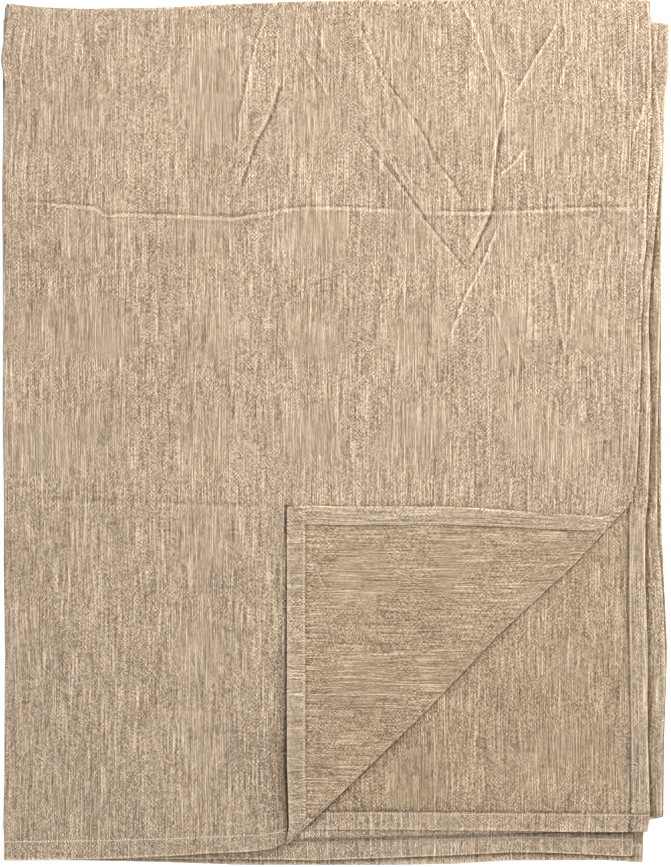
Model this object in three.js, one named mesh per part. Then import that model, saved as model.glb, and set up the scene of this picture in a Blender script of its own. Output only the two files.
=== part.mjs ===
// A hemmed tablecloth, folded for the shelf: in half along its length, then fan-folded into four
// quarters, so that it lies eight leaves deep, with one corner of the top leaf turned back.
// Millimetres. +Z is up, +Y runs to the two upper fan folds, +X to the open, hemmed sides.
// The origin is on the resting plane, under the middle of the bundle.

import * as THREE from "three";

// Cloth, hems and sewing
const CLOTH = 0.5;
const HEM_WIDTH = 20;
const HEM_THICKNESS = 1.2;
const SEAM_WIDTH = 0.8;
const GAP = 0.3;
const PITCH = HEM_THICKNESS + GAP;

// Folded bundle
const HALF_WIDTH = 364;
const HALF_LENGTH = 469.5;

// Each fan fold: the sheet's folded edge, which way the fold points, and the leaf just under it.
const OUTER_BEND = 2.6;
const BEND_EDGE = OUTER_BEND + CLOTH / 2;
const INNER_BEND_ADVANCE = 1.3;
const HINGE_REACH = 3;
const HINGE_CLEARANCE = 5;
const FOLDS = {
  lower_top_fold: { edge: HALF_LENGTH - 18, side: 1, under: 1 },
  bottom_fold: { edge: -448.35, side: -1, under: 3 },
  upper_top_fold: { edge: HALF_LENGTH, side: 1, under: 5 },
};

// Each leaf, from the one that rests on the table up: x of its open side at the top and at the
// bottom of the bundle, and, where the cloth's cut end lies here, y of that end at the left and
// at the open side. Odd leaves have the cloth's right side up.
const LEAVES = [
  { right: [364, 335], end: [-469.5, -467.5] },
  { right: [362, 323], end: [-467.5, -462] },
  { right: [362, 358] },
  { right: [364, 355] },
  { right: [341, 355] },
  { right: [343, 358] },
  { right: [343, 341], end: [-436, -437] },
  { right: [341, 312.5], end: [-467.5, -447.5] },
];
const QUARTERS = [
  { name: "bottom_quarter", leaf: 0, top: "lower_top_fold", topHolds: true },
  { name: "third_quarter", leaf: 2, top: "lower_top_fold", bottom: "bottom_fold", bottomHolds: true },
  { name: "second_quarter", leaf: 4, top: "upper_top_fold", topHolds: true, bottom: "bottom_fold" },
  { name: "top_quarter", leaf: 6, top: "upper_top_fold" },
];

// The turned-back corner: its leaf, where its tip lies, how high it stands, how far back it stops
// to swing clear of the roll along its fold, and how far that roll stops short of both edges.
const TURNED_LEAF = 7;
const CORNER_TIP = new THREE.Vector2(-52, -83);
const CORNER_LIFT = 1.5;
const CORNER_CLEARANCE = 4;
const ROLL_TRIM = 8;

const COLOURS = { right: "#c2ae95", wrong: "#b5a188", hem: "#a89680", thread: "#cdbda4" };

function finish(colour, roughness = 0.95) {
  return new THREE.MeshStandardMaterial({ color: colour, roughness, metalness: 0 });
}

// ---- heights in the stack -------------------------------------------------------------------

const rightSideUp = (leaf) => leaf % 2 === 1;
const hemBottom = (leaf) => leaf * PITCH;
// The hem is turned to the wrong side, so the cloth is flush with it on the right side.
const clothBottom = (leaf) => hemBottom(leaf) + (rightSideUp(leaf) ? HEM_THICKNESS - CLOTH : 0);
const clothMiddle = (leaf) => clothBottom(leaf) + CLOTH / 2;

// ---- flat pieces, cut like cloth ------------------------------------------------------------

// Keeps the part of an outline that lies at least `inset` to the left of an edge.
function keep(outline, edge, inset = 0) {
  const along = edge.to.clone().sub(edge.from).normalize();
  const inward = new THREE.Vector2(-along.y, along.x);
  const height = (point) => point.clone().sub(edge.from).dot(inward) - inset;
  const kept = [];
  outline.forEach((corner, index) => {
    const next = outline[(index + 1) % outline.length];
    const here = height(corner);
    const there = height(next);
    if (here >= 0) kept.push(corner);
    if (here * there < 0) kept.push(corner.clone().lerp(next, here / (here - there)));
  });
  return kept;
}

// Keeps the rest of that outline: the strip along the edge, up to `inset` wide.
function strip(outline, edge, inset) {
  return keep(outline, { from: edge.to, to: edge.from }, -inset);
}

function slab(name, outline, bottom, thickness, colour) {
  const shape = new THREE.Shape(outline);
  const solid = new THREE.ExtrudeGeometry(shape, { depth: thickness, bevelEnabled: false });
  const mesh = new THREE.Mesh(solid, finish(colour));
  mesh.name = name;
  mesh.position.z = bottom;
  return mesh;
}

// One leaf cut into its cloth, its hems and the seam threads that hold them down. An outline's
// corners run from the bottom left one, the way that leaves the cloth on the left.
function cutLeaf(outline, hemmedEnd) {
  const [bottomLeft, bottomRight, topRight] = outline;
  const bottomEdge = { from: bottomLeft, to: bottomRight };
  const rightEdge = { from: bottomRight, to: topRight };
  const seamInside = HEM_WIDTH + GAP + SEAM_WIDTH;
  const clothEdge = seamInside + GAP;
  const pieces = {};
  let rest = outline;
  if (hemmedEnd) {
    pieces.end_hem = strip(rest, bottomEdge, HEM_WIDTH);
    pieces.end_seam = keep(strip(rest, bottomEdge, seamInside), bottomEdge, HEM_WIDTH + GAP);
    rest = keep(rest, bottomEdge, clothEdge);
  }
  pieces.side_hem = strip(rest, rightEdge, HEM_WIDTH);
  pieces.side_seam = keep(strip(rest, rightEdge, seamInside), rightEdge, HEM_WIDTH + GAP);
  pieces.cloth = keep(rest, rightEdge, clothEdge);
  return pieces;
}

function sewnPiece(name, kind, outline, leaf, lift = 0) {
  if (kind === "cloth") {
    const colour = rightSideUp(leaf) ? COLOURS.right : COLOURS.wrong;
    return slab(name, outline, clothBottom(leaf) + lift, CLOTH, colour);
  }
  const colour = kind.endsWith("seam") ? COLOURS.thread : COLOURS.hem;
  return slab(name, outline, hemBottom(leaf) + lift, HEM_THICKNESS, colour);
}

// ---- folds: half-round bends of the cloth ---------------------------------------------------

// The bend bulges along `heading` (radians from +X) and runs to the right of it from `start`.
function bend(name, lowerZ, upperZ, start, length, heading) {
  const radius = (upperZ - lowerZ) / 2;
  const outside = radius + CLOTH / 2;
  const inside = radius - CLOTH / 2;
  const section = new THREE.Shape();
  section.moveTo(0, -outside);
  section.absarc(0, 0, outside, -Math.PI / 2, Math.PI / 2);
  section.lineTo(0, inside);
  section.absarc(0, 0, inside, Math.PI / 2, -Math.PI / 2, true);
  const options = { depth: length, bevelEnabled: false, curveSegments: 8 };
  const mesh = new THREE.Mesh(new THREE.ExtrudeGeometry(section, options), finish(COLOURS.right));
  mesh.name = name;
  mesh.position.set(start.x, start.y, (lowerZ + upperZ) / 2);
  mesh.rotation.set(Math.PI / 2, 0, heading, "ZXY");
  return mesh;
}

const bendLine = (fold) => fold.edge - fold.side * BEND_EDGE;
const hingeLine = (fold) => bendLine(fold) + fold.side * HINGE_REACH;

// Where a leaf stops at a fan fold: against the bend on the quarter that holds it, and far enough
// back to swing clear of it on the other.
function leafStop(fold, leaf, holdsBend) {
  if (!holdsBend) return hingeLine(fold) - fold.side * HINGE_CLEARANCE;
  const outer = Math.abs(leaf - fold.under - 0.5) > 1;
  return bendLine(fold) + fold.side * ((outer ? 0 : INNER_BEND_ADVANCE) - GAP);
}

// The lengthwise fold runs down the left of every quarter, and each leaf starts beside it.
const longBend = (clothMiddle(1) - clothMiddle(0)) / 2;
const longFoldX = -HALF_WIDTH + longBend + CLOTH / 2;
const leafLeft = longFoldX + GAP;

function leafOutline(quarter, leaf) {
  const { right, end } = LEAVES[leaf];
  const top = leafStop(FOLDS[quarter.top], leaf, quarter.topHolds);
  const [leftEnd, rightEnd] = end ?? Array(2).fill(
    leafStop(FOLDS[quarter.bottom], leaf, quarter.bottomHolds),
  );
  return [
    new THREE.Vector2(leafLeft, leftEnd),
    new THREE.Vector2(right[1], rightEnd),
    new THREE.Vector2(right[0], top),
    new THREE.Vector2(leafLeft, top),
  ];
}

function fanFold(name) {
  const fold = FOLDS[name];
  const group = new THREE.Group();
  const heading = fold.side * Math.PI / 2;
  for (const [layer, advance, apart] of [["outer", 0, 1], ["inner", INNER_BEND_ADVANCE, 0]]) {
    const lower = fold.under - apart;
    const upper = fold.under + 1 + apart;
    const openSide = LEAVES[lower].right[fold.side > 0 ? 0 : 1];
    const y = bendLine(fold) + fold.side * advance;
    const start = new THREE.Vector2(fold.side > 0 ? leafLeft : openSide, y);
    const length = openSide - leafLeft;
    const piece = bend(
      `${name}_${layer}`, clothMiddle(lower), clothMiddle(upper), start, length, heading,
    );
    group.add(piece);
  }
  return group;
}

function longFold(quarter, cloths) {
  const low = Math.max(...cloths.map((cloth) => Math.min(...cloth.map((point) => point.y))));
  const high = Math.min(...cloths.map((cloth) => Math.max(...cloth.map((point) => point.y))));
  const start = new THREE.Vector2(longFoldX, low);
  const lowerZ = clothMiddle(quarter.leaf);
  const upperZ = clothMiddle(quarter.leaf + 1);
  return bend(`${quarter.name}_long_fold`, lowerZ, upperZ, start, high - low, Math.PI);
}

// ---- the turned-back corner -----------------------------------------------------------------

// The fold line is where the sheet's corner and the turned tip mirror each other.
const turnedLeaf = LEAVES[TURNED_LEAF];
const sheetCorner = new THREE.Vector2(turnedLeaf.right[1], turnedLeaf.end[1]);
const towardsCorner = sheetCorner.clone().sub(CORNER_TIP).normalize();
const foldMiddle = sheetCorner.clone().add(CORNER_TIP).multiplyScalar(0.5);
const alongFold = new THREE.Vector2(-towardsCorner.y, towardsCorner.x);
const diagonal = { from: foldMiddle, to: foldMiddle.clone().add(alongFold) };
const rollLower = clothMiddle(TURNED_LEAF);
const rollUpper = clothBottom(TURNED_LEAF + 1) + CORNER_LIFT + CLOTH / 2;
const rollEdge = (rollUpper - rollLower) / 2 + CLOTH / 2;

const turnBack = (outline) => outline.map((point) => {
  const across = point.clone().sub(foldMiddle).dot(towardsCorner);
  return point.clone().addScaledVector(towardsCorner, -2 * across);
});

function cornerRoll(corner) {
  const reach = corner.map((point) => point.clone().sub(foldMiddle).dot(alongFold));
  const length = Math.max(...reach) - Math.min(...reach) - 2 * ROLL_TRIM;
  const start = foldMiddle.clone()
    .addScaledVector(alongFold, Math.max(...reach) - ROLL_TRIM)
    .addScaledVector(towardsCorner, -rollEdge);
  const heading = Math.atan2(towardsCorner.y, towardsCorner.x);
  return bend("turned_corner_roll", rollLower, rollUpper, start, length, heading);
}

// The corner's cut end is square to the tip's left edge, which runs straight down the bundle.
function turnedCorner(outline) {
  const group = new THREE.Group();
  const squared = [new THREE.Vector2(leafLeft, sheetCorner.y), ...outline.slice(1)];
  for (const [kind, piece] of Object.entries(cutLeaf(squared, true))) {
    const turned = turnBack(strip(piece, diagonal, -CORNER_CLEARANCE));
    group.add(sewnPiece(`turned_corner_${kind}`, kind, turned, TURNED_LEAF + 1, CORNER_LIFT));
  }
  group.add(cornerRoll(strip(squared, diagonal, 0)));
  return group;
}

// ---- assembly -------------------------------------------------------------------------------

function buildQuarter(quarter) {
  const group = new THREE.Group();
  const cloths = [];
  for (const [place, leaf] of [["lower", quarter.leaf], ["upper", quarter.leaf + 1]]) {
    const outline = leafOutline(quarter, leaf);
    const pieces = cutLeaf(outline, Boolean(LEAVES[leaf].end));
    cloths.push(pieces.cloth);
    for (const [kind, piece] of Object.entries(pieces)) {
      const kept = leaf === TURNED_LEAF ? keep(piece, diagonal, rollEdge + GAP) : piece;
      group.add(sewnPiece(`${quarter.name}_${place}_${kind}`, kind, kept, leaf));
    }
    if (leaf === TURNED_LEAF) group.add(turnedCorner(outline));
  }
  group.add(longFold(quarter, cloths));
  return group;
}

const tablecloth = new THREE.Group();
for (const quarter of QUARTERS) {
  tablecloth.add(buildQuarter(quarter));
}
for (const name of Object.keys(FOLDS)) {
  tablecloth.add(fanFold(name));
}

export default tablecloth;
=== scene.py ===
import math
from types import SimpleNamespace

import bmesh
import bpy
import numpy as np
from mathutils import Matrix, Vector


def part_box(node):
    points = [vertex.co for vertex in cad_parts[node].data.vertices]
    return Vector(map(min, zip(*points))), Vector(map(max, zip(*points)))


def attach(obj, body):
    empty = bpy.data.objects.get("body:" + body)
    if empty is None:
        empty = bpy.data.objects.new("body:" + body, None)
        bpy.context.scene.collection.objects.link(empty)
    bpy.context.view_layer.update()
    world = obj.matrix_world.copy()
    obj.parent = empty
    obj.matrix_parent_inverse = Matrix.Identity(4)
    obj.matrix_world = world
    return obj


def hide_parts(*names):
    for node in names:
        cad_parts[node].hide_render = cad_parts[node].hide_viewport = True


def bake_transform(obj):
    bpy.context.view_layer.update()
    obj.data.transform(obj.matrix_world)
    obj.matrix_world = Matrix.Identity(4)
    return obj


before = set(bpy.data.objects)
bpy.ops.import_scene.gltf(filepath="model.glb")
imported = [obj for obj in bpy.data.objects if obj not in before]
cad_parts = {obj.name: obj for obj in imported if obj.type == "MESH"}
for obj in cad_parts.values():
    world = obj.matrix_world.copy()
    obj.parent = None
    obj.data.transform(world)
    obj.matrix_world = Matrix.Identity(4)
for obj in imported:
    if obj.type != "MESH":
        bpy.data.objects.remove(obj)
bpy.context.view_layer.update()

# ---- Bottom quarter -----------------------------------------------------------------------------
# The two leaves of hemmed cotton and linen that lie on the table. They are one stretch of the
# cloth, folded in half along its length. Each leaf is a flat grid in the cloth's own millimetres,
# laid out between its edges, so that the weave keeps to the threads wherever the cloth goes.
MM = 0.001
CLOTH_THICKNESS = 0.45


def linear(hex_colour):
    """An sRGB hex colour as linear RGBA."""
    channels = [int(hex_colour[i : i + 2], 16) / 255 for i in (1, 3, 5)]
    bent = [c / 12.92 if c <= 0.04045 else ((c + 0.055) / 1.055) ** 2.4 for c in channels]
    return (*bent, 1.0)


def add(tree, kind, inputs=None, **settings):
    """A node with its settings, and its inputs set to values or linked to sockets."""
    node = tree.nodes.new(kind)
    for name, value in settings.items():
        setattr(node, name, value)
    for name, value in (inputs or {}).items():
        if isinstance(value, bpy.types.NodeSocket):
            tree.links.new(value, node.inputs[name])
        else:
            node.inputs[name].default_value = value
    return node


THREAD_PITCH = 1.1
GRAIN_WEIGHT = 0.5
CROSSING_WEIGHT = 1.5
WARP_WEIGHT = 0.4
WEFT_WEIGHT = 0.14
PATCH_WEIGHT = 0.1
TINT_WEIGHT = 0.42


def slub_cloth(name, shades):
    """Plain-woven cotton and linen, washed soft. Uneven yarns leave fine streaks along the threads,
    now and then a thick pale slub or a dark fleck of husk, and a soft matt surface."""
    material = bpy.data.materials.new(name)
    material.use_nodes = True
    tree = material.node_tree
    tree.nodes.clear()
    place = add(tree, "ShaderNodeUVMap", uv_map="cloth").outputs["UV"]

    # Real yarns in such a cloth are about 0.4 mm apart, too fine to show, so each is drawn 1.1 mm wide.
    pitch = (1 / (THREAD_PITCH * MM),) * 3
    counted = add(tree, "ShaderNodeVectorMath", {0: place, 1: pitch}, operation="MULTIPLY")
    crossing = add(tree, "ShaderNodeVectorMath", {0: counted.outputs[0]}, operation="FLOOR").outputs[0]

    def noise(vector, detail=0.0):
        values = {"Vector": vector, "Scale": 1.0, "Detail": detail}
        return add(tree, "ShaderNodeTexNoise", values, noise_dimensions="2D").outputs["Fac"]

    def patches(across_mm, along_mm, detail=0.0):
        """Soft patches of about this size."""
        scale = (1 / (across_mm * MM), 1 / (along_mm * MM), 0)
        stretched = add(tree, "ShaderNodeVectorMath", {0: place, 1: scale}, operation="MULTIPLY")
        return noise(stretched.outputs[0], detail)

    def yarns(each_thread, run_mm, first=0):
        """A tone for each thread, one way of the cloth, that changes along it over this run.
        first shifts it by this many threads."""
        run = tuple(0 if step else 1 / (run_mm * MM) for step in each_thread[:2]) + (0,)
        along = add(tree, "ShaderNodeVectorMath", {0: place, 1: run}, operation="MULTIPLY").outputs[0]
        values = {0: crossing, 1: each_thread, 2: along}
        spread = add(tree, "ShaderNodeVectorMath", values, operation="MULTIPLY_ADD").outputs[0]
        shift = tuple(step * first for step in each_thread)
        return noise(add(tree, "ShaderNodeVectorMath", {0: spread, 1: shift}).outputs[0])

    def mixed_in(total, layer, weight, middle=0.5):
        """The running tone, with a layer's swing either side of its middle added."""
        centred = add(tree, "ShaderNodeMath", {0: layer, 1: middle}, operation="SUBTRACT")
        values = {0: centred.outputs[0], 1: weight, 2: total}
        return add(tree, "ShaderNodeMath", values, operation="MULTIPLY_ADD").outputs[0]

    long_slubs = yarns((5.3, 0, 0), 45)
    grain = add(tree, "ShaderNodeTexWhiteNoise", {"Vector": crossing}, noise_dimensions="2D")
    tone = mixed_in(0.5, grain.outputs["Value"], GRAIN_WEIGHT)
    # At each crossing one thread is up and the other down, more so in some places than others.
    halved = add(tree, "ShaderNodeVectorMath", {0: crossing, 1: (0.5, 0.5, 0)}, operation="MULTIPLY")
    pair = add(tree, "ShaderNodeVectorMath", {0: halved.outputs[0]}, operation="FLOOR").outputs[0]
    uneven = add(tree, "ShaderNodeTexWhiteNoise", {"Vector": pair}, noise_dimensions="2D").outputs["Value"]
    checks = {"Vector": place, "Scale": 1 / (THREAD_PITCH * MM)}
    over_under = add(tree, "ShaderNodeTexChecker", checks).outputs["Fac"]
    lifted = add(tree, "ShaderNodeMath", {0: over_under, 1: 0.5}, operation="SUBTRACT").outputs[0]
    checked = add(tree, "ShaderNodeMath", {0: lifted, 1: CROSSING_WEIGHT}, operation="MULTIPLY").outputs[0]
    tone = mixed_in(tone, uneven, checked)
    tone = mixed_in(tone, yarns((3.7, 0, 0), 30), WARP_WEIGHT)
    tone = mixed_in(tone, yarns((3.7, 0, 0), 30, first=1), -0.6 * WARP_WEIGHT)
    tone = mixed_in(tone, yarns((0, 3.7, 0), 12), WEFT_WEIGHT)
    tone = mixed_in(tone, patches(70, 110, 2.0), PATCH_WEIGHT)
    # Pale slubs stand thick on the cloth, and thin places in the yarn are darker.
    for thin, thick, weight in ((0.65, 0.77, 0.24), (0.35, 0.23, -0.16)):
        slub_range = {"Value": long_slubs, "From Min": thin, "From Max": thick}
        slubs = add(tree, "ShaderNodeMapRange", slub_range).outputs["Result"]
        tone = mixed_in(tone, slubs, weight, middle=0)
    weave = tone
    # Each point is lightened or darkened by its tint, which is all painted light and shade. Folded
    # edges and crests are drawn pale, a painted highlight. The shade that gathers in a crease or under
    # a step is painted in here too, because the soft light alone leaves it too faint, and it stays with
    # the cloth when the folds open.
    tint = add(tree, "ShaderNodeAttribute", attribute_name="tint").outputs["Fac"]
    tone = mixed_in(tone, tint, TINT_WEIGHT, middle=0)

    # Flecks of husk: dots 1 to 2 mm across, one in a patch of about 60 mm, and half the patches have none.
    cells = {"Vector": place, "Scale": 1 / (60 * MM)}
    fleck = add(tree, "ShaderNodeTexVoronoi", cells, voronoi_dimensions="2D")
    near = {"Value": fleck.outputs["Distance"], "From Min": 0.008, "From Max": 0.018}
    near.update({"To Min": 1.0, "To Max": 0.0})
    dot = add(tree, "ShaderNodeMapRange", near).outputs["Result"]
    chosen = add(tree, "ShaderNodeSeparateColor", {"Color": fleck.outputs["Color"]}).outputs["Red"]
    kept = add(tree, "ShaderNodeMath", {0: chosen, 1: 0.55}, operation="GREATER_THAN").outputs[0]
    flecks = add(tree, "ShaderNodeMath", {0: dot, 1: kept}, operation="MULTIPLY").outputs[0]

    ramp = add(tree, "ShaderNodeValToRGB", {"Fac": tone})
    ramp.color_ramp.elements[0].color = linear(shades[0])
    ramp.color_ramp.elements[1].color = linear(shades[2])
    ramp.color_ramp.elements.new(0.5).color = linear(shades[1])
    husked = {0: flecks, 6: ramp.outputs["Color"], 7: linear("#6b533a")}
    colour = add(tree, "ShaderNodeMix", husked, data_type="RGBA")

    bump = add(tree, "ShaderNodeBump", {"Height": weave, "Strength": 0.5, "Distance": 0.3 * MM})
    finish = {"Base Color": colour.outputs[2], "Roughness": 0.92, "Normal": bump.outputs["Normal"]}
    finish.update({"Sheen Weight": 0.1, "Sheen Roughness": 0.6, "Specular IOR Level": 0.2})
    shader = add(tree, "ShaderNodeBsdfPrincipled", finish)
    add(tree, "ShaderNodeOutputMaterial", {"Surface": shader.outputs["BSDF"]})
    return material


RIGHT_SIDE = slub_cloth("slub_cotton_linen_right_side", ("#4c3b27", "#a58f77", "#ffe8cc"))
WRONG_SIDE = slub_cloth("slub_cotton_linen_wrong_side", ("#473622", "#9e876d", "#f9e0c0"))


def line(knots, at, soft=9.0):
    """An edge's offset at these places: straight between its knots, then eased over the corners."""
    places, offsets = np.array(knots, float).T
    shifts = np.linspace(-soft, soft, 7)
    return np.mean([np.interp(at + shift, places, offsets) for shift in shifts], axis=0)


def woven(name, low, high, cells, place, materials, threads=None, tint=None, cut=None, finer=None):
    """A closed stretch of cloth. A flat grid from low to high is laid where place() puts it, and
    threads() gives each point's place in the uncut cloth, for the weave. tint() says how much
    paler or darker each point is drawn, finer() where the grid needs more points, and cut is a
    plane to trim it at."""
    sheet = bmesh.new()
    bmesh.ops.create_grid(sheet, x_segments=cells[0], y_segments=cells[1], size=0.5)
    low, high = np.array(low, float), np.array(high, float)
    bmesh.ops.scale(sheet, vec=(*(high - low), 1), verts=sheet.verts)
    bmesh.ops.translate(sheet, vec=(*(low + high) / 2, 0), verts=sheet.verts)
    if finer:
        middles = np.array([(e.verts[0].co + e.verts[1].co).xy / 2 for e in sheet.edges])
        close = finer(*place(*middles.T).T[:2])
        edges = [edge for edge, wanted in zip(sheet.edges[:], close) if wanted]
        bmesh.ops.subdivide_edges(sheet, edges=edges, cuts=2, use_grid_fill=True)
    flat = np.array([vertex.co.xy for vertex in sheet.verts])
    weave = flat if threads is None else threads(*flat.T)
    laid = place(*flat.T)
    paler = np.zeros(len(flat)) if tint is None else tint(*flat.T)
    chart = sheet.loops.layers.uv.new("cloth")
    tinted = sheet.verts.layers.float.new("tint")
    sheet.verts.index_update()
    for face in sheet.faces:
        face.smooth = True
        for loop in face.loops:
            loop[chart].uv = weave[loop.vert.index] * MM
    for vertex, position, amount in zip(sheet.verts, laid, paler):
        vertex.co = position * MM
        vertex[tinted] = amount
    if cut:
        geometry = sheet.verts[:] + sheet.edges[:] + sheet.faces[:]
        point, outwards = np.array(cut[0]) * MM, cut[1]
        bmesh.ops.bisect_plane(sheet, geom=geometry, plane_co=point, plane_no=outwards, clear_outer=True)
    for edge in sheet.edges:
        edge.smooth = not edge.is_boundary
    return cloth_object(name, sheet, materials)


def cloth_object(name, sheet, materials):
    """The finished sheet as an object, with the cloth's thickness and a side for each material."""
    mesh = bpy.data.meshes.new(name)
    sheet.to_mesh(mesh)
    sheet.free()
    for material in materials:
        mesh.materials.append(material)
    piece = bpy.data.objects.new(name, mesh)
    bpy.context.scene.collection.objects.link(piece)
    body = piece.modifiers.new("thickness", "SOLIDIFY")
    body.thickness = CLOTH_THICKNESS * MM
    body.offset = 0
    body.material_offset = len(materials) - 1
    return piece


def middle(node, axis):
    """The middle of a CAD node along an axis, in millimetres."""
    low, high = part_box(node)
    return (low[axis] + high[axis]) / 2 / MM


def ripple(x, y, z):
    """Where a flat point comes to lie: the pile is never quite flat, and less so towards its top."""
    swell = 0.55 * np.sin(x / 31 + y / 74 + 0.6) + 0.45 * np.sin(x / 52 - y / 39 + 2.0)
    swell += 0.35 * np.sin(x / 19 + y / 120 + 4.1) * np.sin(y / 63 + 1.0)
    return z + swell * np.clip(z, 0, 12) / 12


EASE = 45.0


def inside_line(knots, flat_edge, inset):
    """The line a hem's inner edge takes, this far in from its outer edge."""
    fading = math.exp(-abs(inset) / EASE)
    return tuple((at, flat_edge + inset + fading * (offset - flat_edge)) for at, offset in knots)


def leaf_place(node, left, right, bottom, top, raised=None):
    """A leaf's place() function, from its four edges, and the corners of its flat grid. The threads
    run straight but for a band beside each edge, where they give way to it."""
    height = middle(node, 2)
    low = (-362.0, float(np.mean([offset for _, offset in bottom])))
    high = (float(np.mean([offset for _, offset in right])), float(np.mean([offset for _, offset in top])))

    def place(u, v):
        y = v + (line(bottom, u) - low[1]) * np.exp((low[1] - v) / EASE)
        y = y + (line(top, u) - high[1]) * np.exp((v - high[1]) / EASE)
        x = u + (line(left, y) - low[0]) * np.exp((low[0] - u) / EASE)
        x = x + (line(right, y) - high[0]) * np.exp((u - high[0]) / EASE)
        z = ripple(x, y, np.full_like(x, height))
        if raised:
            z = z + raised(x, y)
        return np.stack([x, y, z], axis=1)

    return place, low, high


# A hem is turned twice to the wrong side. Seen end on, the cloth runs out to the fold (0), turns
# back round it, and lies flat until its raw edge tucks under: pairs of inset and rise from the cloth.
HEM_WIDTH = 20.0
HEM_START = 1.6
TURN = 0.36
turn_angles = np.radians(np.linspace(-90, 90, 7))
SEAM_INSET = 17.6
round_the_edge = TURN - TURN * np.cos(turn_angles)
flat_insets, flat_rises = (1.6, 3.5, 5.5, 8, 10.5, 13, 15), (0.78, 0.86, 0.9, 0.9, 0.9, 0.9, 0.86)
HEM_INSET = np.array([HEM_START, *round_the_edge, *flat_insets, 16.6, SEAM_INSET, 18.6, 19.5, HEM_WIDTH])
HEM_RISE = np.array([0, *(TURN + TURN * np.sin(turn_angles)), *flat_rises, 0.8, 0.55, 0.78, 0.66, 0.3])
# The turned edge is drawn pale, a painted highlight, and painted shade runs along the seam and at the
# hem's inner edge.
PAINTED_EDGE_HIGHLIGHT = (0.5, 0.6, 0.7, 0.7, 0.6, 0.6, 0.5, 0.5, 0.3, 0.1)
HEM_TINT = np.array([*PAINTED_EDGE_HIGHLIGHT, 0, 0, 0, 0, 0, 0, -0.9, 0.1, 0.5, -0.6])
HEM_SHARES = np.linspace(0, 1, len(HEM_INSET))


LAP_RISE = 0.75


def hem(name, place, edge, span, wrong_side, along_y, materials, cells=240, lap=None, cut=None,
        weave=None, shade=None):
    """A turned hem along a leaf's open side (along_y) or its cut end. wrong_side is 1 where the wrong
    side lies up, and lap lifts the hem where it crosses another."""
    inward = -1 if along_y else 1

    def flat(share, along, sign):
        inset = np.interp(share, HEM_SHARES, HEM_INSET) * sign
        beside = np.full_like(along, edge) + inward * inset
        return (beside, along) if along_y else (along, beside)

    def hem_place(share, along):
        points = place(*flat(share, along, 1))
        rise = np.interp(share, HEM_SHARES, HEM_RISE)
        if lap:
            rise = rise + lap(along) * np.clip((share - 0.1) / 0.3, 0, 1)
        points[:, 2] += wrong_side * rise
        return points

    def hem_threads(share, along):
        unturned = flat(share, along, -1)
        return weave(*unturned) if weave else np.stack(unturned, axis=1)

    def hem_tint(share, along):
        paler = np.interp(share, HEM_SHARES, HEM_TINT)
        return paler + shade(*hem_place(share, along).T[:2]) if shade else paler

    low, high = (0, span[0]), (1, span[1])
    cells = (len(HEM_INSET) - 1, cells)
    return woven(name, low, high, cells, hem_place, materials, hem_threads, tint=hem_tint, cut=cut)


def sewing_thread():
    """Spun polyester sewing thread: pale, round and a little shiny beside the matt cloth."""
    material = bpy.data.materials.new("spun_polyester_sewing_thread")
    material.use_nodes = True
    tree = material.node_tree
    tree.nodes.clear()
    place = add(tree, "ShaderNodeTexCoord").outputs["Object"]
    plies = {"Vector": place, "Scale": 1 / (1.5 * MM), "Detail": 1.0}
    uneven = add(tree, "ShaderNodeTexNoise", plies)
    # Each stitch is drawn dark at its ends: painted shade where it dives into its needle hole.
    tint = add(tree, "ShaderNodeAttribute", attribute_name="tint").outputs["Fac"]
    tone = add(tree, "ShaderNodeMath", {0: uneven.outputs["Fac"], 1: tint}, operation="MULTIPLY")
    ramp = add(tree, "ShaderNodeValToRGB", {"Fac": tone.outputs[0]})
    ramp.color_ramp.elements[0].color = linear("#3a2917")
    ramp.color_ramp.elements[1].color = linear("#fff0d8")
    ramp.color_ramp.elements[1].position = 0.38
    bump = add(tree, "ShaderNodeBump", {"Height": uneven.outputs["Fac"], "Distance": 0.1 * MM})
    finish = {"Base Color": ramp.outputs["Color"], "Roughness": 0.6, "Normal": bump.outputs["Normal"]}
    finish["Sheen Weight"] = 0.2
    shader = add(tree, "ShaderNodeBsdfPrincipled", finish)
    add(tree, "ShaderNodeOutputMaterial", {"Surface": shader.outputs["BSDF"]})
    return material


THREAD = sewing_thread()
# Real thread is about 0.3 mm thick, too fine to show, so each stitch is drawn 1.3 mm wide.
STITCH_PITCH = 3.0
STITCH_LENGTH = 2.9
STITCH_WIDTH = 1.3
RIGHT_FACE = -0.36
WRONG_FACE = 0.95


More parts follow.
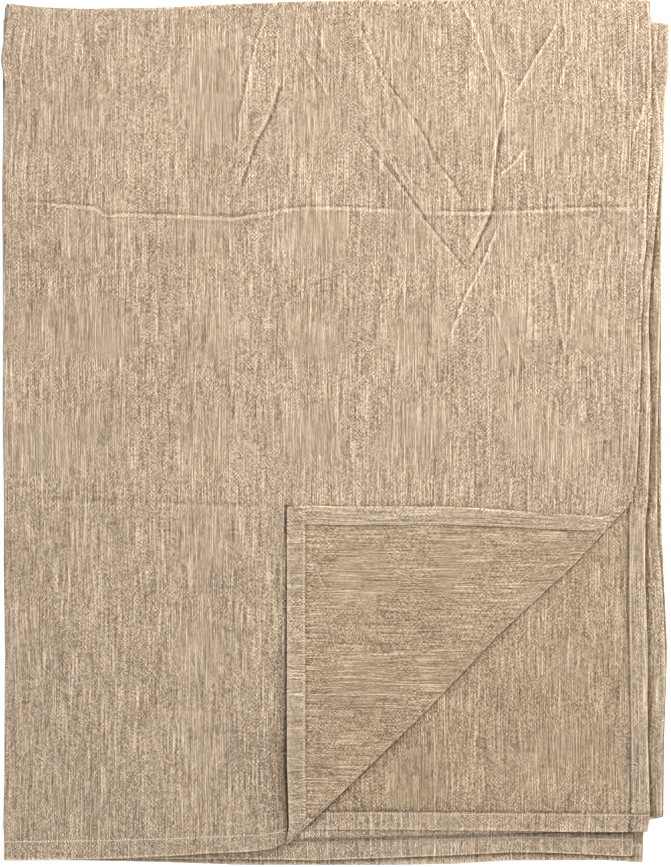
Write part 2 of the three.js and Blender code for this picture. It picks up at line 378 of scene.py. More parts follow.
def stitching(name, place, edge, span, wrong_side, along_y, lap=None):
    """A row of lockstitch that holds a hem down: one thread on each face of the cloth."""
    stitch = bmesh.new()
    for height in (RIGHT_FACE, WRONG_FACE):
        ball = bmesh.ops.create_uvsphere(stitch, u_segments=5, v_segments=4, radius=0.5)["verts"]
        bmesh.ops.rotate(stitch, matrix=Matrix.Rotation(math.pi / 2, 3, "X"), verts=ball)
        bmesh.ops.scale(stitch, vec=(STITCH_WIDTH, STITCH_LENGTH, 0.5), verts=ball)
        bmesh.ops.translate(stitch, vec=(0, 0, height), verts=ball)
    mesh = bpy.data.meshes.new("one_stitch")
    stitch.to_mesh(mesh)
    stitch.free()
    row = bpy.data.objects.new("stitch_row", mesh)
    bpy.context.scene.collection.objects.link(row)
    repeat = row.modifiers.new("repeat", "ARRAY")
    repeat.use_relative_offset = False
    repeat.use_constant_offset = True
    repeat.constant_offset_displace = (0, STITCH_PITCH, 0)
    repeat.count = int((span[1] - span[0]) / STITCH_PITCH)
    bpy.context.view_layer.update()
    seam = bpy.data.meshes.new_from_object(row.evaluated_get(bpy.context.evaluated_depsgraph_get()))
    bpy.data.objects.remove(row)
    points = np.zeros(len(seam.vertices) * 3)
    seam.vertices.foreach_get("co", points)
    points = points.reshape(-1, 3)
    along = span[0] + STITCH_PITCH / 2 + points[:, 1]
    beside = edge + (-1 if along_y else 1) * (SEAM_INSET + points[:, 0])
    laid = place(beside, along) if along_y else place(along, beside)
    up = points[:, 2] + (lap(along) * (points[:, 2] > 0) if lap else 0)
    laid[:, 2] += wrong_side * up
    seam.vertices.foreach_set("co", (laid * MM).ravel())
    # Each stitch's tint falls from its middle to its ends, for the painted shade at its needle holes.
    off_centre = np.abs((points[:, 1] + STITCH_PITCH / 2) % STITCH_PITCH - STITCH_PITCH / 2)
    shown = seam.attributes.new("tint", "FLOAT", "POINT")
    shown.data.foreach_set("value", 1 - 2 * off_centre / STITCH_LENGTH)
    seam.name = name
    seam.materials.clear()
    seam.materials.append(THREAD)
    seam.shade_smooth()
    piece = bpy.data.objects.new(name, seam)
    bpy.context.scene.collection.objects.link(piece)
    return piece


def beside(steps):
    """The drawn shade just past the edges that lie on a leaf. Each step gives that edge's line,
    whether it runs along y, which way is past it, how dark, and over how wide a band."""

    def shade(x, y):
        total = np.zeros_like(x)
        for knots, along_y, outward, depth, width in steps:
            past = outward * (x - line(knots, y, 4) if along_y else y - line(knots, x, 4))
            total -= depth * np.exp(np.where(past > 0, -past / width, past / 0.6))
        return total

    return shade


def make_leaf(quarter, layer, edges, cells, wrong_side, ended, raised=None, trim=None,
              finer=None, shade=None):
    """One leaf with its hems and stitching, riding on its quarter. ended says that the cloth's cut
    end lies here, with a hem of its own. shade() gives the shade drawn on each point."""
    start = f"{quarter}_{layer}"
    place, low, high = leaf_place(f"{start}_cloth", *edges, raised=raised)
    sides = (WRONG_SIDE, RIGHT_SIDE) if wrong_side > 0 else (RIGHT_SIDE, WRONG_SIDE)
    bottom = low[1] + (HEM_START if ended else 0)
    cut = trim[:2] if trim else None

    def tint(u, v):
        return shade(*place(u, v).T[:2]) if shade else np.zeros_like(u)

    leaf = woven(f"{start}_leaf", (low[0], bottom), (high[0] - HEM_START, high[1]), cells, place,
                 sides, cut=cut, finer=finer, tint=tint)
    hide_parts(f"{start}_cloth")
    stop = low[1] if trim is None else trim[2]
    turned = [hem(f"{start}_turned_side_hem", place, high[0], (stop, high[1]), wrong_side, True, sides,
                  shade=shade)]
    sewn = [stitching(f"{start}_side_stitching", place, high[0], (stop + 3, high[1]), wrong_side, True)]
    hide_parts(f"{start}_side_hem")
    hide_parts(f"{start}_side_seam")
    if ended:
        across = (low[0], high[0] if trim is None else trim[3])

        def lap(along):
            return LAP_RISE * np.clip((along - (high[0] - HEM_WIDTH)) / 3, 0, 1)

        turned.append(hem(f"{start}_turned_end_hem", place, low[1], across, wrong_side, False, sides,
                          lap=lap, shade=shade))
        sewn.append(stitching(f"{start}_end_stitching", place, low[1], across, wrong_side, False, lap=lap))
        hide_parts(f"{start}_end_hem")
        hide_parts(f"{start}_end_seam")
    for piece in (leaf, *turned, *sewn):
        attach(piece, quarter)
    height = middle(f"{start}_cloth", 2)
    return SimpleNamespace(cloth=leaf, extras=turned + sewn, place=place, low=low, high=high,
                           left=edges[0], height=height, body=quarter)


def fold_round(name, lower, upper, outward, bulge, threads, cells, materials):
    """Cloth that turns through half a circle, from the lower leaf's edge to the upper one's.
    lower and upper give those edges, along the fold."""

    def place(turn, along):
        angle = np.pi * turn[:, None]
        below, above = lower(along), upper(along)
        centre, radius = (below + above) / 2, (above - below) / 2
        reach = np.linalg.norm(radius, axis=1)[:, None] * bulge(along)[:, None]
        return centre - radius * np.cos(angle) + np.array(outward) * reach * np.sin(angle)

    # The bend is drawn paler towards its outermost line: a painted highlight.
    def tint(turn, along):
        return 0.7 * np.sin(np.pi * turn) ** 6

    return woven(name, (0, cells[2]), (1, cells[3]), cells[:2], place, materials, threads, tint=tint)


def plain_bulge(along):
    return np.ones_like(along)


def long_fold(quarter, lower, upper, span):
    """The lengthwise fold down the left side of a quarter."""

    def left_edge(leaf):
        def edge(along):
            x = line(leaf.left, along)
            return np.stack([x, along, ripple(x, along, np.full_like(x, leaf.height))], axis=1)

        return edge

    def threads(turn, along):
        return np.stack([lower.low[0] - 3.5 * (1 - turn), along], axis=1)

    cells = (8, 220, span[0], span[1])
    piece = fold_round(f"{quarter}_long_fold_turn", left_edge(lower), left_edge(upper), (-1, 0, 0),
                       plain_bulge, threads, cells, (RIGHT_SIDE, WRONG_SIDE))
    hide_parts(f"{quarter}_long_fold")
    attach(piece, quarter)
    return piece


# Leaves are numbered 0 to 7 from the table up. Each edge is a row of points: a place along it, and
# how far out it lies there, in millimetres.
LOWER_TOP_LINE = ((-364, 455.0), (-340, 450), (-300, 449), (300, 449), (330, 445), (364, 440.5))
LOWER_TOP_INNER = ((-364, 456.0), (-340, 451), (-300, 450), (300, 450), (330, 446), (364, 441.5))
LEFT_0 = ((-474, -360.5), (-330, -360), (-150, -359), (0, -361), (250, -361.5), (380, -359),
          (455, -359))
RIGHT_0 = ((-474, 335.5), (-300, 342), (0, 350), (380, 361), (455, 361))
END_0 = ((-364, -467), (-202, -470.5), (-152, -472), (-102, -474), (53, -474), (125, -473),
         (190, -469), (300, -468.7), (336, -470.6))
RIGHT_1 = ((-470, 323.5), (-300, 333), (0, 346), (380, 358), (455, 360))
END_1 = ((-364, -466.5), (-71, -467.6), (-21, -468.7), (54, -466), (125, -463.3), (190, -460),
         (229, -460), (266, -461.6), (322, -463.8))
HIDDEN_CELLS = (56, 74)


def open_edges(x, y):
    """Where a leaf below the top can be seen: past the edges of the leaves above it."""
    return (x > 318) | ((y < -428) & (x > -60))


EDGES_0 = (LEFT_0, RIGHT_0, END_0, LOWER_TOP_LINE)
past_next_leaf = beside([(END_1, False, -1, 0.9, 1.6), (RIGHT_1, True, 1, 0.9, 1.8)])
bottom_lower = make_leaf("bottom_quarter", "lower", EDGES_0, (70, 200), 1, True, shade=past_next_leaf)
LOWEST_SHOWN_END = ((-362, -432), (-13, -434.5), (60, -434.5), (120, -435.5), (215, -436), (260, -437.2),
                    (343, -437.2))
BOTTOM_LINE = ((-362, -445.5), (-50, -443.5), (54, -440), (125, -438.5), (229, -434.5), (267, -434),
               (310, -428), (343, -421), (357, -417.5))


def sprung_end(x, y):
    """The loose end lifts past the bottom fold above it."""
    past = np.clip((line(BOTTOM_LINE, x) - 4 - y) / 12, 0, 1)
    return 1.6 * past**2 * (3 - 2 * past)


EDGES_1 = (LEFT_0, RIGHT_1, END_1, LOWER_TOP_INNER)
past_top_quarter = beside([(LOWEST_SHOWN_END, False, -1, 2.4, 2.0)])
bottom_upper = make_leaf("bottom_quarter", "upper", EDGES_1, (100, 200), -1, True, raised=sprung_end,
                         finer=open_edges, shade=past_top_quarter)
bottom_long = long_fold("bottom_quarter", bottom_lower, bottom_upper, (-466, 449))

# ---- Third quarter ------------------------------------------------------------------------------
# The next two leaves up, between the lower top fold and the bottom fold. Only their hemmed open
# sides show, past the leaves above, and the bottom fold wanders up towards the open side.
BOTTOM_INNER = tuple((x, y - 1) for x, y in BOTTOM_LINE)
LEFT_2 = ((-474, -361), (-330, -358), (-150, -360.5), (0, -360), (250, -361), (380, -361.5), (450, -360.5))
RIGHT_2 = ((-420, 358), (-340, 357), (-240, 360), (-150, 357), (0, 355), (350, 357), (443, 362))
RIGHT_3 = ((-420, 355), (-108, 353.5), (0, 354), (328, 356.2), (353, 358.4), (392, 363.8), (443, 364))
EDGES_2 = (LEFT_2, RIGHT_2, BOTTOM_LINE, LOWER_TOP_INNER)
third_lower = make_leaf("third_quarter", "lower", EDGES_2, HIDDEN_CELLS, 1, False)
EDGES_3 = (LEFT_2, RIGHT_3, BOTTOM_INNER, LOWER_TOP_LINE)
third_upper = make_leaf("third_quarter", "upper", EDGES_3, (90, 200), -1, False)
third_long = long_fold("third_quarter", third_lower, third_upper, (-445, 449))

# ---- Second quarter -----------------------------------------------------------------------------
# Two leaves between the bottom fold and the upper top fold. Their open sides weave in and out along
# the bundle, a few millimetres past the top quarter's.
UPPER_TOP_OUTER = ((-364, 463), (-330, 460), (-278, 458), (-191, 458), (-38, 462.8), (158, 462.8),
                   (245, 466.4), (345, 466.6))
UPPER_TOP_INNER = tuple((x, y + 1) for x, y in UPPER_TOP_OUTER)
LEFT_4 = ((-474, -360), (-330, -358.5), (-150, -359), (0, -361), (250, -360.5), (380, -360),
          (463, -359))
RIGHT_4 = ((-420, 358), (-345, 358.4), (-240, 362), (-108, 356.2), (0, 356), (200, 355), (330, 352),
           (463, 341))
RIGHT_5 = ((-420, 356), (-340, 357), (-262, 360), (-223, 359), (-150, 355), (-119, 351), (-10, 351),
           (200, 356), (330, 355), (380, 350), (463, 343))
TOP_LEAF_OPEN_SIDE = ((-437, 340), (-422, 343), (-359, 341), (-295, 340), (-240, 338.7), (-184, 337.6),
                      (-94, 337.6), (-86, 339.8), (-75, 340.5), (0, 343), (34, 343), (121, 341),
                      (175, 344.2), (239, 350.2), (301, 355.7), (350, 353), (400, 346), (463, 343))
EDGES_4 = (LEFT_4, RIGHT_4, BOTTOM_INNER, UPPER_TOP_OUTER)
second_lower = make_leaf("second_quarter", "lower", EDGES_4, HIDDEN_CELLS, 1, False,
                         shade=beside([(RIGHT_5, True, 1, 1.8, 2.4)]))
EDGES_5 = (LEFT_4, RIGHT_5, BOTTOM_LINE, UPPER_TOP_INNER)
second_upper = make_leaf("second_quarter", "upper", EDGES_5, (90, 200), -1, False, finer=open_edges,
                         shade=beside([(TOP_LEAF_OPEN_SIDE, True, 1, 2.0, 3.2)]))
second_long = long_fold("second_quarter", second_lower, second_upper, (-445, 462))

# ---- Top quarter --------------------------------------------------------------------------------
# The two leaves that show most: the top one, right side up and creased, and under it one wrong
# side up, whose hemmed corner shows where the top leaf's own corner is turned back.
LEFT_6 = ((-474, -360), (-330, -359), (-150, -358.5), (0, -361), (250, -361), (380, -359), (463, -357))
RIGHT_6 = TOP_LEAF_OPEN_SIDE
END_6 = LOWEST_SHOWN_END
LEFT_7 = ((-468, -361), (-439, -361), (-335, -358.3), (-275, -356.7), (-154, -358.3), (-3, -361),
          (181, -361), (250, -362), (284, -362), (339, -360), (370, -359), (383, -359), (398, -363),
          (410, -363), (425, -360), (437, -357), (463, -355))
RIGHT_7 = ((-447, 305), (-120, 315), (-92, 318), (-75, 322.4), (-54, 327.8), (-4, 330), (71, 332.7),
           (121, 332.9), (133, 334.4), (182, 334.6), (192, 338), (252, 338.9), (328, 343),
           (350, 344.2), (443, 344), (463, 341))
END_7 = ((-362, -467.6), (-259, -466.5), (-210, -464.4), (-165, -462.2), (-137, -460), (-102, -458.9),
         (-77, -456.8), (-60, -452.4), (-51, -444.8))

# Creases: how high the ridge stands, how wide half of it is, and its way across the cloth. Each
# ridge has a slight hollow beside it.
CREASES = (
    (0.5, 1.12, ((-71, 461), (-85, 426), (-96, 377), (-103, 344), (-106, 290))),
    (0.36, 1.12, ((-31, 451), (-16, 425), (-2, 402))),
    (0.36, 1.2, ((-43, 425), (-24, 395), (-4, 359))),
    (-0.54, 1.12, ((19, 464), (34, 427), (55, 383), (76, 355), (98, 322), (112, 292), (127, 274),
                   (146, 241))),
    (-0.54, 1.12, ((25, 328), (46, 301), (71, 270), (91, 241), (110, 216), (131, 192), (151, 163))),
    (0.36, 1.04, ((40, 325), (71, 277), (100, 234))),
    (0.32, 1.04, ((64, 306), (79, 277), (100, 238))),
    (0.59, 1.12, ((137, 464), (149, 446), (158, 419), (170, 383))),
    (0.54, 1.12, ((170, 425), (178, 398), (188, 379), (182, 337), (170, 301))),
    (0.59, 1.12, ((243, 447), (235, 431), (221, 410), (197, 367))),
    (0.54, 1.04, ((255, 410), (247, 388), (244, 371))),
    (0.59, 1.04, ((345, 371), (335, 349), (323, 316))),
    (0.54, 1.12, ((209, 310), (194, 289), (176, 277))),
    (0.59, 1.2, ((182, 234), (164, 189), (151, 162), (143, 149), (125, 101))),
    (0.41, 1.12, ((164, 117), (146, 96))),
    (0.36, 1.12, ((296, 231), (284, 198), (275, 165))),
    (0.45, 1.2, ((230, 198), (240, 162), (245, 113), (252, 77))),
    (0.36, 1.12, ((260, 144), (257, 113), (253, 98))),
    (0.36, 1.04, ((197, 86), (212, 74), (224, 62))),
    (0.36, 1.12, ((173, 135), (182, 108), (194, 77))),
    (0.36, 1.04, ((-252, 457), (-262, 439), (-256, 431))),
    (0.32, 1.04, ((-255, 398), (-256, 359))),
    (-0.6, 1.7, ((-57, 383), (-71, 339), (-84, 317), (-104, 263))),
    (-0.7, 1.8, ((182, 340), (174, 277), (173, 241), (158, 210), (146, 183))),
    (-0.36, 1.5, ((91, 241), (152, 240), (212, 242), (272, 245), (339, 245))),
    (-0.32, 1.5, ((-362, 251), (-326, 251), (-260, 246), (-251, 237), (-229, 239), (-109, 234), (-63, 242),
                  (-34, 246), (1, 246), (91, 241))),
    (0.2, 1.5, ((-362, 247), (-326, 247), (-260, 242), (-251, 233), (-229, 235), (-109, 230), (-63, 238),
                (-34, 242), (1, 242), (91, 237), (152, 236), (212, 238), (272, 241), (339, 241))),
    (-0.14, 2.5, ((-330, -74), (-200, -76), (-55, -82))),
)


def flowing(points, step=6.0):
    """A smooth path through a few points, with its corners eased."""
    points = np.array(points, float)
    along = np.concatenate([[0], np.cumsum(np.linalg.norm(np.diff(points, axis=0), axis=1))])
    at = np.linspace(0, along[-1], max(6, int(along[-1] / step)))
    shifts = (-7, -3.5, 0, 3.5, 7)
    eased = [np.mean([np.interp(at + s, along, points[:, k]) for s in shifts], axis=0) for k in (0, 1)]
    return np.stack(eased, axis=1)


def creasing(creases):
    """For a set of creases: how far they raise a point, how much paler or darker it is drawn, and
    whether it lies close to one."""
    paths = [(rise, width, flowing(points)) for rise, width, points in creases]

    def measure(x, y):
        raised, tint = np.zeros_like(x), np.zeros_like(x)
        close = np.zeros(len(x), bool)
        for rise, width, path in paths:
            low, high = path.min(axis=0) - 5 * width, path.max(axis=0) + 5 * width
            inside = np.nonzero((x > low[0]) & (x < high[0]) & (y > low[1]) & (y < high[1]))[0]
            point = np.stack([x[inside], y[inside]], axis=1)
            best = np.full(len(inside), 1e9)
            signed, share = np.zeros(len(inside)), np.zeros(len(inside))
            for index in range(len(path) - 1):
                step = path[index + 1] - path[index]
                away = point - path[index]
                t = np.clip(away @ step / (step @ step), 0, 1)
                gap = away - t[:, None] * step
                distance = np.linalg.norm(gap, axis=1)
                nearer = distance < best
                best[nearer] = distance[nearer]
                side = np.sign(step[0] * gap[:, 1] - step[1] * gap[:, 0])
                signed[nearer] = (distance * side)[nearer]
                share[nearer] = ((index + t) / (len(path) - 1))[nearer]
            fade = np.clip(np.sin(np.pi * np.clip(share, 0.02, 0.98)) * 3, 0, 1)
            ridge = np.exp(-((signed / width) ** 2))
            hollow = 0.5 * np.exp(-(((signed + 1.8 * width) / (1.1 * width)) ** 2))
            raised[inside] += rise * fade * (ridge - hollow)
            # The tint follows the relief: painted highlight where the cloth is raised, painted shade where
            # it sinks.
            tint[inside] += rise * 1.5 * fade * (ridge - 1.2 * hollow)
            close[inside] |= best < 3.2 * width
        return raised, tint, close

    return measure


top_creases = creasing(CREASES)
HEM_STEP = 0.35


def top_raised(x, y):
    """The top leaf's creases, and the step where its hem lies under it."""
    hem_step = HEM_STEP / (1 + np.exp(-(x - (line(RIGHT_7, y) - HEM_WIDTH)) / 0.8))
    end_step = HEM_STEP / (1 + np.exp((y - (line(END_7, x) + HEM_WIDTH)) / 0.8))
    return top_creases(x, y)[0] + np.maximum(hem_step, end_step) + puffed(x, y)


def puffed(x, y):
    """The top quarter springs up a little along its open side."""
    sprung = 3.2 * np.clip((x - 285) / 50, 0, 1) ** 2
    return sprung * np.clip((y + 150) / 60, 0, 1) * np.clip((480 - y) / 60, 0, 1)


# Edges of the turned-back corner, where it lies on the top leaf.
TOP_EDGE = ((-52, -83), (-27, -81.2), (2, -82.6), (38, -82.3), (121, -82.3), (170, -85), (211, -88.3),
            (272, -91.6), (290, -94.5), (302, -90), (310, -84), (322, -77))
LEFT_EDGE = ((-449, -51.5), (-430, -50.2), (-405, -51), (-359, -52.4), (-83, -52.6))
left_of_corner = beside([(LEFT_EDGE, True, -1, 1.4, 1.4), (LEFT_EDGE, True, -1, 0.5, 5.0)])
above_corner = beside([(TOP_EDGE, False, 1, 0.9, 1.2)])
SEAM_7 = inside_line(RIGHT_7, float(np.mean([x for _, x in RIGHT_7])), -SEAM_INSET)


def near_crease(x, y):
    left_side = (np.abs(x - line(LEFT_EDGE, y, 4)) < 6) & (y < -80)
    top_side = (np.abs(y - line(TOP_EDGE, x, 4)) < 4) & (x > -54)
    seam = (np.abs(x - line(SEAM_7, y)) < 2.5) & (y > -70)
    return top_creases(x, y)[2] | left_side | top_side | seam


def top_tint(x, y):
    """Crests drawn pale, a painted highlight, and painted shade in the hollows, along the seam and under
    the corner's edges. Left of its tip, where the corner stands highest, a broad soft painted shadow is
    drawn as well."""
    dip = 0.35 * np.exp(-(((x - line(SEAM_7, y)) / 1.0) ** 2)) * (y > -70)
    left = line(LEFT_EDGE, y) - x
    broad = 0.55 * np.exp(-(((y + 375) / 65) ** 2) - np.clip(left, 0, None) / 16) * (left > -3)
    edges = left_of_corner(x, y) * (y < -82) + above_corner(x, y) * (x > -52)
    return top_creases(x, y)[1] + edges - dip - broad


# The corner is turned back along a line at 45 degrees through this point, in millimetres.
DIAGONAL_MIDDLE = np.array([130.25, -265.25])
ALONG = np.array([1, 1]) / math.sqrt(2)
OUTWARD = np.array([1, -1]) / math.sqrt(2)
FLAP_START = 3.0
cut = DIAGONAL_MIDDLE - FLAP_START * OUTWARD
TOP_TRIM = ((cut[0], cut[1], 0), (OUTWARD[0], OUTWARD[1], 0), -76.0, -52.0)

SIDE_HEM_6 = inside_line(RIGHT_6, float(np.mean([x for _, x in RIGHT_6])), -HEM_WIDTH)
END_HEM_6 = inside_line(END_6, float(np.mean([y for _, y in END_6])), HEM_WIDTH)
past_top_leaf = beside([(RIGHT_7, True, 1, 1.7, 1.7)])
inside_hems = beside([(SIDE_HEM_6, True, -1, 1.5, 1.1), (END_HEM_6, False, 1, 1.3, 1.1)])


def past_diagonal(x, y):
    return (x - DIAGONAL_MIDDLE[0]) * OUTWARD[0] + (y - DIAGONAL_MIDDLE[1]) * OUTWARD[1]


def near_hem_6(x, y):
    side, end = np.abs(x - line(SIDE_HEM_6, y, 4)) < 3, np.abs(y - line(END_HEM_6, x, 4)) < 3
    return (side & (y < -60)) | (end & (x > -60)) | ((np.abs(past_diagonal(x, y) - 7) < 6) & (x > -60))


def lower_shade(x, y):
    """The shade drawn past the top leaf, inside this leaf's own hems, and under the diagonal fold."""
    past = past_diagonal(x, y)
    under_fold = 0.8 * np.exp(-np.clip(past - 4, 0, None) / 5) * np.clip((300 - x) / 300, 0.35, 1)
    return past_top_leaf(x, y) * (y > -78) + inside_hems(x, y) - under_fold * (past > 0)


EDGES_6 = (LEFT_6, RIGHT_6, END_6, UPPER_TOP_INNER)
top_lower = make_leaf("top_quarter", "lower", EDGES_6, (130, 170), 1, True,
                      raised=puffed, shade=lower_shade, finer=near_hem_6)
EDGES_7 = (LEFT_7, RIGHT_7, END_7, UPPER_TOP_OUTER)
top_upper = make_leaf("top_quarter", "upper", EDGES_7, (150, 200), -1, True,
                      raised=top_raised, trim=TOP_TRIM, finer=near_crease, shade=top_tint)
top_long = long_fold("top_quarter", top_lower, top_upper, (-434, 462))

# ---- Fan folds ----------------------------------------------------------------------------------
# Where the doubled cloth turns back over itself across its width: at each fan fold an outer and an
# inner bend, one cloth inside the other, left round and not creased.


def bend_between(piece):
    """The bend's place is baked into its mesh, and it is tied to no body."""
    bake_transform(piece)


def fan_fold(fold, layer, lower, upper, side):
    """One bend of a fan fold, from the lower leaf's edge to the upper one's."""
    width = lower.high[0] - lower.low[0]

    def edge_of(leaf):
        def edge(share):
            u = leaf.low[0] + share * (leaf.high[0] - leaf.low[0])
            return leaf.place(u, np.full_like(u, leaf.high[1] if side > 0 else leaf.low[1]))

        return edge

    def threads(turn, share):
        return np.stack([lower.low[0] + width * share, side * (480 + 8 * turn)], axis=1)

    outer_face_first = (layer == "outer") == (side > 0)
    materials = (RIGHT_SIDE, WRONG_SIDE) if outer_face_first else (WRONG_SIDE, RIGHT_SIDE)
    piece = fold_round(f"{fold}_{layer}_bend", edge_of(lower), edge_of(upper), (0, side, 0), plain_bulge,
                       threads, (14, 230, 0, 1), materials)
    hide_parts(f"{fold}_{layer}")
    bend_between(piece)


FAN_FOLDS = (
    ("lower_top_fold", 1, bottom_lower, bottom_upper, third_lower, third_upper),
    ("bottom_fold", -1, third_lower, third_upper, second_lower, second_upper),
    ("upper_top_fold", 1, second_lower, second_upper, top_lower, top_upper),
)
for fold, side, lowest, lower, upper, highest in FAN_FOLDS:
    fan_fold(fold, "outer", lowest, highest, side)
    fan_fold(fold, "inner", lower, upper, side)

# ---- Turned-back corner -------------------------------------------------------------------------
# The top leaf's corner, laid back over it wrong side up, so that its end hem lies down the left and
# its side hem across the top. It springs a little off the leaf towards the fold along its diagonal.
FLAP_LOW = (-52.5, -452.0)
FLAP_HIGH = (324.0, -82.0)
BULGE = ((-258, 1.0), (-191, 3.2), (-125, 4.6), (-61, 6.0), (13, 4.6), (66, 2.8), (119, 4.8), (174, 7),
         (240, 5), (262, 3.5), (272, 1.5))
ROLL_RADIUS = ((-258, 2.2), (-190, 1.9), (-60, 1.7), (170, 1.6), (255, 1.5), (272, 0.7))
FLAP_REST = 12.9
LEAF_TOP = middle("top_quarter_upper_cloth", 2)


def diagonal_place(x, y):
    """A point's place along the diagonal fold, and its distance outwards from it."""
    away = np.stack([x, y], axis=1) - DIAGONAL_MIDDLE
    return away @ ALONG, away @ OUTWARD


def flap_place(x, y):
    """Where the turned corner's cloth lies: highest at the fold, easing down to the tip."""
    left, top = line(LEFT_EDGE, y, 6), line(TOP_EDGE, x, 4)
    clear = np.clip((-diagonal_place(x, y)[1] - FLAP_START) / 8, 0, 1)
    x_new = x + clear * (left - FLAP_LOW[0]) * np.exp(-np.abs(x - FLAP_LOW[0]) / EASE)
    y_new = y + clear * (top - FLAP_HIGH[1]) * np.exp(-np.abs(y - FLAP_HIGH[1]) / EASE)
    s, out = diagonal_place(x_new, y_new)
    inside = np.clip(-out - FLAP_START, 0, None)
    crest = 2 * line(ROLL_RADIUS, s) + LEAF_TOP
    over = np.clip((out + FLAP_START) / (line(BULGE, s) + FLAP_START), 0, 0.98)
    crest = crest - line(ROLL_RADIUS, s) * (1 - np.sqrt(1 - over**2))
    z = FLAP_REST + (crest - FLAP_REST) * np.exp(-inside / 34)
    lift = 2.4 * np.exp(-((y_new + 340) / 90) ** 2) * np.exp(-np.abs(x_new + 52) / 30)
    sway = 0.3 * np.sin(x_new / 34 + 1) * np.sin(y_new / 41) + 0.25 * np.sin((x_new + y_new) / 23)
    z = z + lift + sway * np.clip(inside / 30, 0, 1)
    under = ripple(x_new, y_new, np.full_like(x_new, 11.45)) - 11.45
    return np.stack([x_new, y_new, z + under], axis=1)


def flap_threads(x, y):
    """The flap's place in the uncut cloth: its mirror image across the diagonal."""
    _, out = diagonal_place(x, y)
    return np.stack([x, y], axis=1) - 2 * out[:, None] * OUTWARD


LEFT_HEM = inside_line(LEFT_EDGE, FLAP_LOW[0], HEM_WIDTH)
TOP_HEM = inside_line(TOP_EDGE, FLAP_HIGH[1], -HEM_WIDTH)
inside_flap_hems = beside([(LEFT_HEM, True, 1, 1.0, 1.0), (TOP_HEM, False, -1, 1.3, 1.0)])


def flap_tint(x, y):
    return inside_flap_hems(*flap_place(x, y).T[:2])


def near_flap_hem(x, y):
    return (np.abs(x - line(LEFT_HEM, y, 4)) < 3) | (np.abs(y - line(TOP_HEM, x, 4)) < 3)


flap_low, flap_high = (FLAP_LOW[0] + HEM_START, FLAP_LOW[1]), (FLAP_HIGH[0], FLAP_HIGH[1] - HEM_START)
flap = woven("turned_corner_leaf", flap_low, flap_high, (110, 110), flap_place, (WRONG_SIDE, RIGHT_SIDE),
             flap_threads, tint=flap_tint, cut=TOP_TRIM[:2], finer=near_flap_hem)
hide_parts("turned_corner_cloth")


def across_flap(u, v):
    """The flap's left hem runs up its left edge: the same hem profile, measured from the left."""
    return flap_place(2 * FLAP_LOW[0] - u, v)


def tip_lap(along):
    """The end hem laps over the side hem at the tip."""
    return LAP_RISE * np.clip((along - (FLAP_HIGH[1] - HEM_WIDTH)) / 3, 0, 1)


def along_top(u, v):
    """The flap's top hem runs along its top edge, measured down from it."""
    return flap_place(u, 2 * FLAP_HIGH[1] - v)


corner_hems = (
    ("end", across_flap, FLAP_LOW[0], (-449.0, FLAP_HIGH[1]), True, tip_lap, 1.4),
    ("side", along_top, FLAP_HIGH[1], (FLAP_LOW[0], 322.0), False, None, 4.2),
)
corner_extras = []
for kind, place, edge, span, along_y, lap, stop in corner_hems:
    sides = (RIGHT_SIDE, WRONG_SIDE)
    stop_point = DIAGONAL_MIDDLE + stop * OUTWARD
    end = ((*stop_point, 0), (*OUTWARD, 0))

    def mirrored(u, v, along_y=along_y):
        """The hem's place in the uncut cloth, from its place on the mirrored flap."""
        return flap_threads(2 * FLAP_LOW[0] - u, v) if along_y else flap_threads(u, 2 * FLAP_HIGH[1] - v)

    strip = hem(f"turned_corner_{kind}_hem_turned", place, edge, span, 1, along_y, sides, cells=180,
                lap=lap, cut=end, weave=mirrored)
    sewn_span = (span[0] + 24, span[1]) if along_y else (span[0], span[1] - 24)
    row = stitching(f"turned_corner_{kind}_stitching", place, edge, sewn_span, 1, along_y, lap=lap)
    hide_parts(f"turned_corner_{kind}_hem")
    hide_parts(f"turned_corner_{kind}_seam")
    corner_extras += [strip, row]
for piece in (flap, *corner_extras):
    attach(piece, "turned_corner")


def roll_edge(upper):
    """The roll's two edges: on the top leaf, and on the flap above it."""

    def edge(along):
        flat = DIAGONAL_MIDDLE + along[:, None] * ALONG - FLAP_START * OUTWARD
        if upper:
            return flap_place(flat[:, 0], flat[:, 1])
        z = ripple(flat[:, 0], flat[:, 1], np.full(len(flat), LEAF_TOP))
        return np.stack([flat[:, 0], flat[:, 1], z], axis=1)

    return edge


def roll_bulge(along):
    """How far the roll stands out past the diagonal, against its radius."""
    return (line(BULGE, along) + FLAP_START) / line(ROLL_RADIUS, along)


def roll_threads(turn, along):
    """The roll's weave runs on from the flap's, so its seam lies hidden under the fold."""
    width = line(BULGE, along) + FLAP_START
    arc = width * np.sin(np.pi * turn)
    unrolled = FLAP_START - np.where(turn > 0.5, arc, 2 * width - arc)
    return DIAGONAL_MIDDLE + along[:, None] * ALONG + unrolled[:, None] * OUTWARD


roll = fold_round("turned_corner_roll_cloth", roll_edge(False), roll_edge(True), (*OUTWARD, 0),
                  roll_bulge, roll_threads, (20, 200, -257.0, 271.0), (RIGHT_SIDE, WRONG_SIDE))
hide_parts("turned_corner_roll")
bend_between(roll)

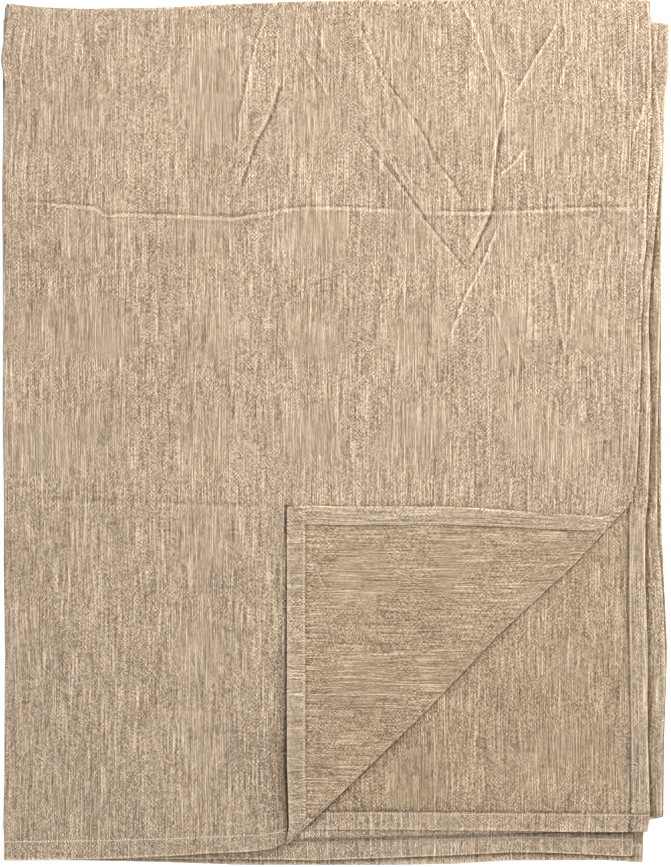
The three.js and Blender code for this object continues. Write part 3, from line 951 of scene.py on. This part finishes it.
# ---- Floor, light and camera ----------------------------------------------------------------------
# A plain white acrylic floor under two soft boxes, with the camera straight above. The floor is lit
# from within as well, so that it comes out white and the cloth leaves no shadow on it.
FLOOR_SIZE = 10.0
FLOOR_DROP = 0.0005
FLOOR_GLOW = 0.55
sweep = bmesh.new()
bmesh.ops.create_grid(sweep, x_segments=1, y_segments=1, size=FLOOR_SIZE / 2)
bmesh.ops.translate(sweep, vec=(0, 0, -FLOOR_DROP), verts=sweep.verts)
floor_mesh = bpy.data.meshes.new("floor")
sweep.to_mesh(floor_mesh)
sweep.free()
floor = bpy.data.objects.new("floor", floor_mesh)
bpy.context.scene.collection.objects.link(floor)
acrylic = bpy.data.materials.new("backlit_white_acrylic")
acrylic.use_nodes = True
surface = acrylic.node_tree.nodes["Principled BSDF"].inputs
surface["Base Color"].default_value = linear("#f4f4f4")
surface["Roughness"].default_value = 0.9
surface["Emission Color"].default_value = linear("#ffffff")
surface["Emission Strength"].default_value = FLOOR_GLOW
floor_mesh.materials.append(acrylic)


def soft_light(name, size, power, place, aim):
    """A square soft box, turned towards a point."""
    lamp = bpy.data.lights.new(name, "AREA")
    lamp.shape = "SQUARE"
    lamp.size = size
    lamp.energy = power
    lamp.color = (1.0, 1.0, 1.0)
    holder = bpy.data.objects.new(name, lamp)
    bpy.context.scene.collection.objects.link(holder)
    holder.location = place
    direction = np.array(aim, float) - np.array(place, float)
    holder.rotation_euler = (
        math.atan2(math.hypot(direction[0], direction[1]), -direction[2]),
        0,
        math.atan2(direction[1], direction[0]) - math.pi / 2,
    )
    return holder


soft_light("key_light", 1.0, 62, (1.2, 1.8, 1.5), (0, 0, 0))
soft_light("overhead_light", 1.4, 26, (0.2, 0.2, 2.6), (0, 0, 0))
world = bpy.data.worlds.new("studio")
world.use_nodes = True
room = world.node_tree.nodes["Background"].inputs
room["Color"].default_value = (1, 1, 1, 1)
room["Strength"].default_value = 0.36
bpy.context.scene.world = world
bpy.context.scene.view_settings.view_transform = "Standard"

FIELD_HEIGHT = 0.945
LENS = 150
SENSOR = 36
lens = bpy.data.cameras.new("camera")
lens.lens = LENS
lens.sensor_width = SENSOR
camera = bpy.data.objects.new("camera", lens)
bpy.context.scene.collection.objects.link(camera)
camera.location = (0.0003, -0.0028, FIELD_HEIGHT * LENS / SENSOR + 0.01)
lens.clip_end = 20
bpy.context.scene.camera = camera
